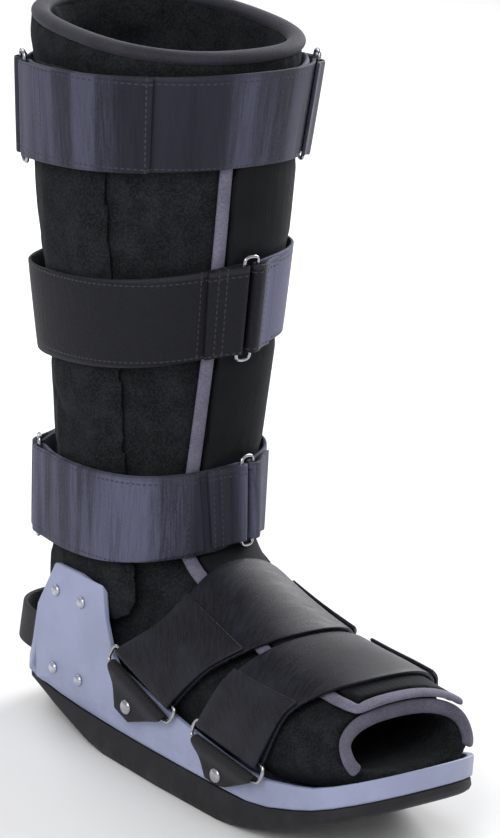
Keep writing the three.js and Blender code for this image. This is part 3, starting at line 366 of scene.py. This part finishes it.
def leg_strap_finish(name, key, pile):
    """Strap round the leg: brushed loop face or smooth nylon, with sewn edges and hems"""
    strap = LEG_STRAPS[key]
    finish = Finish(name)
    angle, round_mm, height_mm = finish.round_leg(strap)
    streaks = finish.grain(1.0, 3.0, 0.6, finish.join(round_mm * 0.9, height_mm * 0.05, 0.0))
    # Soft upright bands of lighter webbing: part random tone, part painted sheen on the strap's folds
    bands_and_painted_sheen = finish.grain(1.0, 2.0, 0.5, finish.join(round_mm * 0.07, height_mm * 0.004, 3.0))
    tufts = finish.grain(1.0, 4.0, 0.6)
    ribs = (round_mm * 7.5).math("SINE") * 0.5 + 0.5
    pitch = bpy.context.scene.boot_straps.stitch * 1000.0
    edge_lines = [
        height_mm - (strap["low"] + SEAM_INSET), height_mm - (strap["high"] - SEAM_INSET)]
    hem_lines = [(angle - degrees) * MM_PER_DEGREE for degrees in HEM_SEAMS[key]]
    edges = stitch_rows(finish, edge_lines, round_mm, pitch)
    hems = stitch_rows(finish, hem_lines, height_mm, pitch)
    threads = edges.math("MAXIMUM", hems)
    colour = colours()
    if pile:
        share = tufts.ramp(0.38, 0.66) * 0.8 + bands_and_painted_sheen * 0.25
        face = finish.blend(share, tint(colour.pile_dark, 1.2), tint(colour.pile_light, 1.25))
        relief = tufts * 1.0
        depth, sheen = 0.5, 0.05
    else:
        share = streaks.ramp(0.3, 0.75) * 0.4 + bands_and_painted_sheen.ramp(0.38, 0.62) * 0.65
        share = share + tufts.ramp(0.3, 0.7) * 0.2
        face = finish.blend(
            share, tint(colour.webbing, 0.35 * strap["shade"]),
            tint(colour.webbing, 1.9 * strap["shade"]))
        relief = ribs * 0.35 + streaks * 0.4 + tufts * 0.35
        depth, sheen = 0.2, 0.22
    # Painted shade: over the stretches above, matt darkens the strap's face most of the way to a
    # near-black webbing
    start, end = PAINTED_SHADE_SPANS[key]
    matt = angle.ramp(start - 4.0, start + 4.0) * angle.ramp(end + 5.0, end - 5.0)
    face = finish.blend(matt * 0.8, face, tint(colour.webbing, 0.22))
    if pile:
        # The middle strap's smooth nylon end past its ring, far lighter than the webbing: real nylon,
        # with a painted highlight for the light it catches from the right
        nylon_end_painted_lit = angle.ramp(9.0, 13.0) * angle.ramp(64.0, 60.0)
        nylon = finish.blend(streaks, tint(colour.webbing, 2.4), tint(colour.webbing, 4.6))
        face = finish.blend(nylon_end_painted_lit, face, nylon)
    worn = height_mm.near(strap["low"], 1.6).math("MAXIMUM", height_mm.near(strap["high"], 1.6))
    face = finish.blend(worn * tufts * 0.7, face, tint(colour.thread, 0.9))
    base = finish.blend(threads, face, colour.thread)
    sunk = relief * (1.0 - threads) + threads * 1.6
    return finish.set(
        Base_Color=base, Roughness=0.45 + streaks * 0.26, Normal=finish.bump(sunk, depth, 0.85),
        Sheen_Weight=sheen, Sheen_Roughness=0.22, Sheen_Tint=(0.72, 0.74, 0.95, 1.0),
        Specular_IOR_Level=0.15)


def foot_strap_finish(name):
    """Smooth nylon strap over the foot: streaks along the foot, ribs across it"""
    finish = Finish(name)
    x, y, z = finish.split()
    lay = finish.join(x * 0.06, (y - z) * 0.7, z * 0.2)
    streaks = finish.grain(1.0, 3.0, 0.6, lay)
    tufts = finish.grain(1.0, 4.0, 0.6)
    patches = finish.grain(0.05, 2.0, 0.5)
    share = streaks.ramp(0.3, 0.75) * 0.45 + patches.ramp(0.35, 0.7) * 0.4
    share = share + tufts.ramp(0.35, 0.7) * 0.2
    base = finish.blend(share, tint(colours().webbing, 0.1), tint(colours().webbing, 0.55))
    relief = streaks * 0.5 + tufts * 0.5
    return finish.set(
        Base_Color=base, Roughness=0.38 + streaks * 0.24, Normal=finish.bump(relief, 0.22, 0.8),
        Sheen_Weight=0.2, Sheen_Roughness=0.18, Sheen_Tint=(0.72, 0.74, 0.95, 1.0),
        Specular_IOR_Level=0.22)


def tape_finish(name, shade=1.0):
    """Folded grosgrain tape: fine ribs and a slightly rubbed crown"""
    finish = Finish(name)
    ribs = finish.cells(1.9)
    tufts = finish.grain(0.9, 3.0, 0.6)
    patches = finish.grain(0.05, 2.0, 0.5)
    share = tufts.ramp(0.3, 0.75) * 0.55 + patches.ramp(0.3, 0.7) * 0.45
    base = finish.blend(
        share, tint(colours().tape, 0.6 * shade), tint(colours().tape, 1.3 * shade))
    return finish.set(
        Base_Color=base, Roughness=0.62 + tufts * 0.25, Normal=finish.bump(ribs + tufts, 0.25, 0.8),
        Sheen_Weight=0.14, Sheen_Roughness=0.35, Sheen_Tint=(0.8, 0.8, 0.95, 1.0),
        Specular_IOR_Level=0.25)


def backing_finish(name):
    """Tight dark webbing of the heel strap and the patches that hold the rings"""
    finish = Finish(name)
    _, y, z = finish.split()
    weft = ((y + z) * 4.2).math("SINE") * 0.5 + 0.5
    warp = ((z - y) * 4.2).math("SINE") * 0.5 + 0.5
    tufts = finish.grain(1.2, 3.0, 0.6)
    share = (weft * warp) * 0.5 + tufts.ramp(0.3, 0.75) * 0.5
    base = finish.blend(share, tint(colours().backing, 0.6), tint(colours().backing, 2.4))
    return finish.set(
        Base_Color=base, Roughness=0.6 + tufts * 0.25,
        Normal=finish.bump(weft + warp + tufts, 0.18, 0.9),
        Sheen_Weight=0.08, Sheen_Roughness=0.35, Sheen_Tint=(0.75, 0.77, 0.9, 1.0),
        Specular_IOR_Level=0.3)


def shell_finish(name):
    """Moulded plastic: fine spark grain, faint flow marks, lighter scuffs all over, patchy and darker
    towards the bottom
    """
    finish = Finish(name)
    spark = finish.grain(2.6, 3.0, 0.6)
    flow = finish.grain(0.03, 3.0, 0.5)
    scuff = finish.grain(0.25, 4.0, 0.65)
    _, _, z = finish.split()
    low = z.ramp(46.0, 18.0)
    share = flow.ramp(0.3, 0.7) * 0.5 + scuff.ramp(0.55, 0.8) * 0.25 + spark * 0.25
    base = finish.blend(share, tint(colours().shell, 0.86), tint(colours().shell, 1.14))
    base = finish.blend(low * scuff.ramp(0.45, 0.7) * 0.35, base, tint(colours().shell, 0.62))
    return finish.set(
        Base_Color=base, Roughness=0.36 + spark * 0.14 + scuff * 0.08,
        Normal=finish.bump(spark, 0.06, 0.7), Specular_IOR_Level=0.5)


def rubber_finish(name):
    """Moulded rubber with a matt skin, a dusty tread and shallow cross ribs below"""
    finish = Finish(name)
    pores = finish.grain(1.7, 4.0, 0.6)
    dust = finish.grain(0.08, 4.0, 0.6)
    _, y, z = finish.split()
    tread = z.ramp(7.0, 3.0)
    ribs = (y * 0.9).math("SINE").ramp(-0.2, 0.2)
    share = dust.ramp(0.4, 0.75) * (0.35 + tread * 0.5)
    base = finish.blend(share, tint(colours().rubber, 0.8), tint(colours().rubber, 3.6))
    relief = pores * 0.25 + ribs * tread
    return finish.set(
        Base_Color=base, Roughness=0.62 + pores * 0.25, Normal=finish.bump(relief, 0.4, 0.8),
        Specular_IOR_Level=0.4)


def wire_finish(name, colour, rough):
    """Plated or bare metal: faint drawing marks and dull spots"""
    finish = Finish(name)
    dull = finish.grain(0.35, 4.0, 0.65)
    fine = finish.grain(3.0, 2.0, 0.5)
    base = finish.blend(dull.ramp(0.45, 0.8), colour, tint(colour, 0.7))
    return finish.set(
        Base_Color=base, Metallic=1.0, Roughness=rough + dull.ramp(0.4, 0.8) * 0.2,
        Normal=finish.bump(fine, 0.03, 0.5))


def floor_finish(name):
    """Pale painted floor with a barely visible grain"""
    finish = Finish(name)
    grain = finish.grain(0.01, 3.0, 0.5)
    base = finish.blend(grain, (0.86, 0.86, 0.865), (0.9, 0.9, 0.905))
    return finish.set(Base_Color=base, Roughness=0.8 + grain * 0.1, Specular_IOR_Level=0.2)


def quads_of(node):
    """An editable copy of a node's solid: doubles merged and triangles joined"""
    form = bmesh.new()
    form.from_mesh(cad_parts[node].data)
    bmesh.ops.remove_doubles(form, verts=form.verts, dist=MERGE_DISTANCE)
    bmesh.ops.join_triangles(
        form, faces=form.faces, angle_face_threshold=math.radians(30),
        angle_shape_threshold=math.radians(70))
    return form


def finished(form, name, material, nodes, crease=30.0):
    """A piece from an edited form, smooth but for its creases, standing for the nodes"""
    for face in form.faces:
        face.smooth = True
    for edge in form.edges:
        if len(edge.link_faces) == 2:
            edge.smooth = edge.calc_face_angle() < math.radians(crease)
    mesh = bpy.data.meshes.new(name)
    form.to_mesh(mesh)
    form.free()
    if "custom_normal" in mesh.attributes:
        mesh.attributes.remove(mesh.attributes["custom_normal"])
    piece = bpy.data.objects.new(name, mesh)
    bpy.context.scene.collection.objects.link(piece)
    mesh.materials.clear()
    mesh.materials.append(material)
    for polygon in mesh.polygons:
        polygon.material_index = 0
    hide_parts(*nodes)
    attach(piece, "root")
    return piece


def rounded(piece, width, segments=2, levels=0, angle=32.0):
    """Rounds a piece's creases and, with levels, the piece"""
    bevel = piece.modifiers.new("edges", "BEVEL")
    bevel.width = width
    bevel.segments = segments
    bevel.limit_method = "ANGLE"
    bevel.angle_limit = math.radians(angle)
    bevel.harden_normals = False
    if levels:
        smooth = piece.modifiers.new("round", "SUBSURF")
        smooth.levels = levels
        smooth.render_levels = levels
    return piece


def settle_modifiers(piece):
    """Makes what the modifiers show the piece's own mesh"""
    graph = bpy.context.evaluated_depsgraph_get()
    shown = bpy.data.meshes.new_from_object(piece.evaluated_get(graph))
    old = piece.data
    piece.modifiers.clear()
    piece.data = shown
    bpy.data.meshes.remove(old)


def points_of(mesh):
    flat = np.empty(len(mesh.vertices) * 3)
    mesh.vertices.foreach_get("co", flat)
    return flat.reshape(-1, 3)


def ease(value, low, high):
    """0 below low, 1 above high, smooth between, for arrays"""
    share = np.clip((value - low) / (high - low), 0.0, 1.0)
    return share * share * (3.0 - 2.0 * share)


def leg_angles(points):
    """Degrees round the leg from the front to the wearer's left, and heights in millimetres"""
    millimetres = points * 1000.0
    ahead = AXIS_Y + millimetres[:, 2] * AXIS_LEAN - millimetres[:, 1]
    return np.degrees(np.arctan2(millimetres[:, 0], ahead)), millimetres[:, 2]


def under_straps(points, margin):
    """1 under a leg strap, 0 from margin millimetres outside it"""
    degrees, height = leg_angles(points)
    turn = np.radians(degrees)
    covered = np.zeros(len(points))
    for strap in LEG_STRAPS.values():
        level = height - strap["left"] * np.sin(turn) - strap["front"] * np.cos(turn)
        inside = ease(level, strap["low"] - margin, strap["low"]) * (
            1.0 - ease(level, strap["high"], strap["high"] + margin))
        covered = np.maximum(covered, inside)
    return covered


def plump(piece, grid, limit):
    """Swells a piece as cloth under pressure; limit gives how far each point may move, in metres"""
    sizes = bpy.context.scene.boot_padding
    remesh = piece.modifiers.new("grid", "REMESH")
    remesh.mode = "VOXEL"
    remesh.voxel_size = grid
    remesh.use_smooth_shade = True
    settle_modifiers(piece)
    rest = points_of(piece.data)
    cloth = piece.modifiers.new("foam", "CLOTH")
    cloth.settings.quality = 4
    cloth.settings.use_pressure = True
    cloth.settings.uniform_pressure_force = sizes.pressure
    cloth.settings.effector_weights.gravity = 0.0
    cloth.settings.shrink_min = -0.02
    cloth.settings.tension_stiffness = 12.0
    cloth.settings.compression_stiffness = 12.0
    cloth.settings.bending_stiffness = 0.3
    cloth.point_cache.frame_start = 1
    cloth.point_cache.frame_end = sizes.settle
    for step in range(1, sizes.settle + 1):
        bpy.context.scene.frame_set(step)
    settle_modifiers(piece)
    bpy.context.scene.frame_set(1)
    moved = points_of(piece.data) - rest
    length = np.maximum(np.linalg.norm(moved, axis=1), 1e-9)
    moved *= np.minimum(1.0, limit(rest) / length)[:, None]
    piece.data.vertices.foreach_set("co", (rest + moved).ravel())
    piece.data.update()
    smooth = piece.modifiers.new("round", "SUBSURF")
    smooth.levels = 1
    smooth.render_levels = 1
    for polygon in piece.data.polygons:
        polygon.use_smooth = True
    return piece


def bootie_limit(points):
    """The bootie swells behind, between the straps, and a little beside the flap on the foot"""
    sizes = bpy.context.scene.boot_padding
    degrees, height = leg_angles(points)
    leg = ease(height, 96.0, 120.0)
    bare_behind = ease(np.abs(degrees), 116.0, 136.0)
    bare_beside = ease(-degrees, 22.0, 34.0) * (1.0 - ease(-degrees, 50.0, 62.0)) * 0.3
    free = 1.0 - under_straps(points, 9.0)
    share = leg * free * np.maximum(bare_behind, bare_beside)
    return sizes.covered_swell + share * (sizes.bare_swell - sizes.covered_swell)


def panel_limit(points):
    """The flap and the sleeves swell between the straps"""
    sizes = bpy.context.scene.boot_padding
    _, height = leg_angles(points)
    leg = ease(height, 120.0, 150.0)
    share = leg * (1.0 - under_straps(points, 8.0))
    return sizes.covered_swell + share * (sizes.panel_swell - sizes.covered_swell)


def crumple(piece, depth):
    """Presses soft creases, depth millimetres deep, into the cloth at the bend of the ankle"""
    low, high = CREASE_HEIGHTS
    for vertex in piece.data.vertices:
        x, y, z = (value * 1000.0 for value in vertex.co)
        rise = min(1.0, max(0.0, (z - low) / CREASE_FADE))
        level = rise * min(1.0, max(0.0, (high - z) / CREASE_FADE))
        if level > 0.0:
            along = z + 0.55 * y
            wave = noise.noise(Vector((x * 0.02, (z - y) * 0.012, along * 0.085)))
            vertex.co -= vertex.normal * (max(0.0, wave + 0.12) * depth * level / 1000.0)


def tuck_rim(piece):
    """Draws the bootie's top edge up into the rim's tape"""
    points = points_of(piece.data)
    degrees, height = leg_angles(points)
    sector = ((degrees + 180.0) / (360.0 / RIM_SECTORS)).astype(int) % RIM_SECTORS
    for number in range(RIM_SECTORS):
        inside = sector == number
        if inside.any():
            top = height[inside].max()
            points[inside, 2] += ease(height[inside], top - RIM_REACH, top - 1.0) * RIM_RISE / 1000.0
    piece.data.vertices.foreach_set("co", points.ravel())
    piece.data.update()


class BOOT_OT_outsole(bpy.types.Operator):
    """Rocker outsole in moulded rubber"""

    bl_idname = "boot.outsole"
    bl_label = "Outsole"

    def execute(self, context):
        form = quads_of("outsole")
        piece = finished(
            form, "outsole_rubber", rubber_finish("rubber"), ["outsole"], 24.0)
        rounded(piece, 0.0012, 3)
        return {"FINISHED"}


class BOOT_OT_shell(bpy.types.Operator):
    """Foot shell with its side walls in moulded plastic"""

    bl_idname = "boot.shell"
    bl_label = "Shell"

    def execute(self, context):
        piece = finished(
            quads_of("shell"), "shell_moulding", shell_finish("shell"), ["shell"], 28.0)
        rounded(piece, 0.0008, 3)
        return {"FINISHED"}


class BOOT_OT_bootie(bpy.types.Operator):
    """Padded bootie that holds the leg and the foot"""

    bl_idname = "boot.bootie"
    bl_label = "Bootie"

    def execute(self, context):
        sizes = context.scene.boot_padding
        piece = finished(
            quads_of("liner"), "bootie_padding", pile_finish("bootie_pile"), ["liner"])
        plump(piece, sizes.bootie_grid, bootie_limit)
        crumple(piece, sizes.crease * 1000.0)
        tuck_rim(piece)
        return {"FINISHED"}


class BOOT_OT_flap(bpy.types.Operator):
    """Front flap over the shin and the instep"""

    bl_idname = "boot.flap"
    bl_label = "Front flap"

    def execute(self, context):
        sizes = context.scene.boot_padding
        piece = finished(
            quads_of("front_flap"), "flap_padding", knit_finish("flap_knit"), ["front_flap"])
        plump(piece, sizes.panel_grid, panel_limit)
        return {"FINISHED"}


class BOOT_OT_sleeves(bpy.types.Operator):
    """Side sleeves with the uprights in their pockets"""

    bl_idname = "boot.sleeves"
    bl_label = "Sleeves and uprights"

    def execute(self, context):
        sizes = context.scene.boot_padding
        pile = pile_finish("sleeve_pile", 0.95, 1.0, 0.5)
        bar = wire_finish("bar_aluminium", colours().bar, 0.34)
        for side in ("right", "left"):
            sleeve = finished(
                quads_of(f"sleeve_{side}"), f"sleeve_padding_{side}", pile, [f"sleeve_{side}"])
            plump(sleeve, sizes.panel_grid, panel_limit)
            upright = finished(
                quads_of(f"upright_{side}"), f"upright_bar_{side}", bar,
                [f"upright_{side}"])
            rounded(upright, 0.0004, 2)
        return {"FINISHED"}


class BOOT_OT_bindings(bpy.types.Operator):
    """Bound edges of the rim, the flap and the toe opening"""

    bl_idname = "boot.bindings"
    bl_label = "Bindings"

    def execute(self, context):
        # The rim's tape is darkened to a fifth: painted shade, for the rim's shaded front; the toe's
        # tape is a little darker than the flap's
        for node, shade in (("rim_binding", 0.2), ("flap_binding", 1.0), ("toe_binding", 0.7)):
            tape = tape_finish(f"{node}_grosgrain", shade)
            piece = finished(quads_of(node), f"{node}_tape", tape, [node], 180.0)
            smooth = piece.modifiers.new("round", "SUBSURF")
            smooth.levels = 2
            smooth.render_levels = 2
        return {"FINISHED"}


class BOOT_OT_leg_straps(bpy.types.Operator):
    """Straps round the leg"""

    bl_idname = "boot.leg_straps"
    bl_label = "Leg straps"

    def execute(self, context):
        edge = context.scene.boot_straps.edge
        straps = [
            ("top", False, "webbing", ("strap_top_front", "strap_top_rear")),
            ("middle", True, "loop_strap", ("strap_middle",)),
            ("ankle", False, "webbing", ("strap_ankle_front", "strap_ankle_rear")),
        ]
        for key, pile, slot, nodes in straps:
            finish = leg_strap_finish(f"{key}_strap_cloth", key, pile)
            for node in nodes:
                piece = finished(quads_of(node), f"{node}_webbing", finish, [node], 40.0)
                rounded(piece, edge, 2, 1, 40.0)
        return {"FINISHED"}


class BOOT_OT_foot_straps(bpy.types.Operator):
    """Straps over the foot and behind the heel"""

    bl_idname = "boot.foot_straps"
    bl_label = "Foot and heel straps"

    def execute(self, context):
        edge = context.scene.boot_straps.edge
        cloth = foot_strap_finish("foot_strap_cloth")
        for node in ("strap_instep", "strap_forefoot"):
            piece = finished(quads_of(node), f"{node}_webbing", cloth, [node], 40.0)
            rounded(piece, edge, 2, 1, 40.0)
        heel = finished(
            quads_of("heel_strap"), "heel_strap_webbing", backing_finish("heel_webbing"),
            ["heel_strap"], 40.0)
        rounded(heel, edge, 2, 1, 40.0)
        return {"FINISHED"}


class BOOT_OT_rings(bpy.types.Operator):
    """Wire rings of the straps and the patches that hold those of the foot"""

    bl_idname = "boot.rings"
    bl_label = "Rings and patches"

    def execute(self, context):
        wire = wire_finish("wire", colours().wire, 0.2)
        patch = backing_finish("patch_webbing")
        for node in [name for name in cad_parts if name.startswith("ring_")]:
            piece = finished(quads_of(node), f"{node}_wire", wire, [node], 180.0)
            smooth = piece.modifiers.new("round", "SUBSURF")
            smooth.levels = 2
            smooth.render_levels = 2
        for node in [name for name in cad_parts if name.startswith("chafe_")]:
            piece = finished(quads_of(node), f"{node}_patch", patch, [node], 40.0)
            rounded(piece, context.scene.boot_straps.patch_edge, 2, 1, 40.0)
        return {"FINISHED"}


class BOOT_OT_rivets(bpy.types.Operator):
    """Rivet heads on the walls and the ring patches"""

    bl_idname = "boot.rivets"
    bl_label = "Rivets"

    def execute(self, context):
        wire = wire_finish("rivet_plating", colours().wire, 0.26)
        bar = wire_finish("rivet_aluminium", colours().bar, 0.3)
        for node in [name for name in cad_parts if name.startswith("rivet_")]:
            low, high = (Vector(corner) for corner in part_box(node))
            centre = (low + high) / 2
            radius = (high.y - low.y) / 2
            rise = high.x - low.x
            side = 1.0 if centre.x > 0 else -1.0
            foot = Vector((low.x if side > 0 else high.x, centre.y, centre.z))
            form = bmesh.new()
            bmesh.ops.create_uvsphere(form, u_segments=28, v_segments=18, radius=1.0)
            bmesh.ops.bisect_plane(
                form, geom=form.verts[:] + form.edges[:] + form.faces[:], plane_co=(0, 0, 0),
                plane_no=(0, 0, -1), clear_outer=True)
            bmesh.ops.holes_fill(form, edges=[edge for edge in form.edges if edge.is_boundary])
            turn = Matrix.Rotation(math.radians(90.0) * side, 4, "Y")
            size = Matrix.Diagonal((radius, radius, rise, 1.0))
            bmesh.ops.transform(form, matrix=Matrix.Translation(foot) @ turn @ size, verts=form.verts)
            wall = node.startswith("rivet_wall")
            finished(
                form, f"{node}_head", bar if wall else wire, [node])
        return {"FINISHED"}


class BOOT_OT_stage(bpy.types.Operator):
    """Pale floor, soft studio light and the camera"""

    bl_idname = "boot.stage"
    bl_label = "Stage"

    def execute(self, context):
        scene = context.scene
        form = bmesh.new()
        bmesh.ops.create_grid(form, x_segments=1, y_segments=1, size=FLOOR_HALF)
        mesh = bpy.data.meshes.new("floor")
        form.to_mesh(mesh)
        form.free()
        mesh.materials.append(floor_finish("floor_paint"))
        floor = bpy.data.objects.new("floor", mesh)
        scene.collection.objects.link(floor)

        for name, place, size, power in LAMPS:
            light = bpy.data.lights.new(name, "AREA")
            light.size = size
            light.energy = power
            lamp = bpy.data.objects.new(name, light)
            lamp.location = place
            aim = Vector(LAMP_TARGET) - Vector(place)
            lamp.rotation_euler = aim.to_track_quat("-Z", "Y").to_euler()
            scene.collection.objects.link(lamp)

        world = bpy.data.worlds.new("studio")
        world.use_nodes = True
        sky = world.node_tree.nodes["Background"].inputs
        sky["Color"].default_value = (1.0, 1.0, 1.0, 1.0)
        sky["Strength"].default_value = WORLD_STRENGTH
        scene.world = world
        scene.view_settings.view_transform = "Standard"

        lens = bpy.data.cameras.new("camera")
        lens.sensor_width = 36.0
        lens.lens = CAMERA_LENS
        lens.clip_end = 100.0
        camera = bpy.data.objects.new("camera", lens)
        right = Vector(CAMERA_RIGHT).normalized()
        back = Vector(CAMERA_BACK).normalized()
        up = back.cross(right)
        turn = Matrix((right, up, back)).transposed().to_4x4()
        camera.matrix_world = Matrix.Translation(CAMERA_PLACE) @ turn
        scene.collection.objects.link(camera)
        scene.camera = camera
        return {"FINISHED"}


STEPS = [
    BOOT_OT_outsole, BOOT_OT_shell, BOOT_OT_bootie, BOOT_OT_flap, BOOT_OT_sleeves, BOOT_OT_bindings,
    BOOT_OT_leg_straps, BOOT_OT_foot_straps, BOOT_OT_rings, BOOT_OT_rivets, BOOT_OT_stage,
]


class BOOT_PT_panel(bpy.types.Panel):
    """Lists the steps and the sizes"""

    bl_idname = "BOOT_PT_panel"
    bl_label = "Walking Boot"
    bl_space_type = "VIEW_3D"
    bl_region_type = "UI"
    bl_category = "Walking Boot"

    def draw(self, context):
        layout = self.layout
        for step in STEPS:
            layout.operator(step.bl_idname)
        for group in (context.scene.boot_colours, context.scene.boot_padding, context.scene.boot_straps):
            box = layout.box()
            for key in group.__annotations__:
                box.prop(group, key)


CLASSES = [FinishColours, PaddingSizes, StrapSizes, *STEPS, BOOT_PT_panel]


def register():
    for made in CLASSES:
        bpy.utils.register_class(made)
    bpy.types.Scene.boot_colours = PointerProperty(type=FinishColours)
    bpy.types.Scene.boot_padding = PointerProperty(type=PaddingSizes)
    bpy.types.Scene.boot_straps = PointerProperty(type=StrapSizes)


def unregister():
    del bpy.types.Scene.boot_colours
    del bpy.types.Scene.boot_padding
    del bpy.types.Scene.boot_straps
    for made in reversed(CLASSES):
        bpy.utils.unregister_class(made)


def main():
    register()
    for step in STEPS:
        group, name = step.bl_idname.split(".")
        getattr(getattr(bpy.ops, group), name)()


if __name__ == "__main__":
    main()
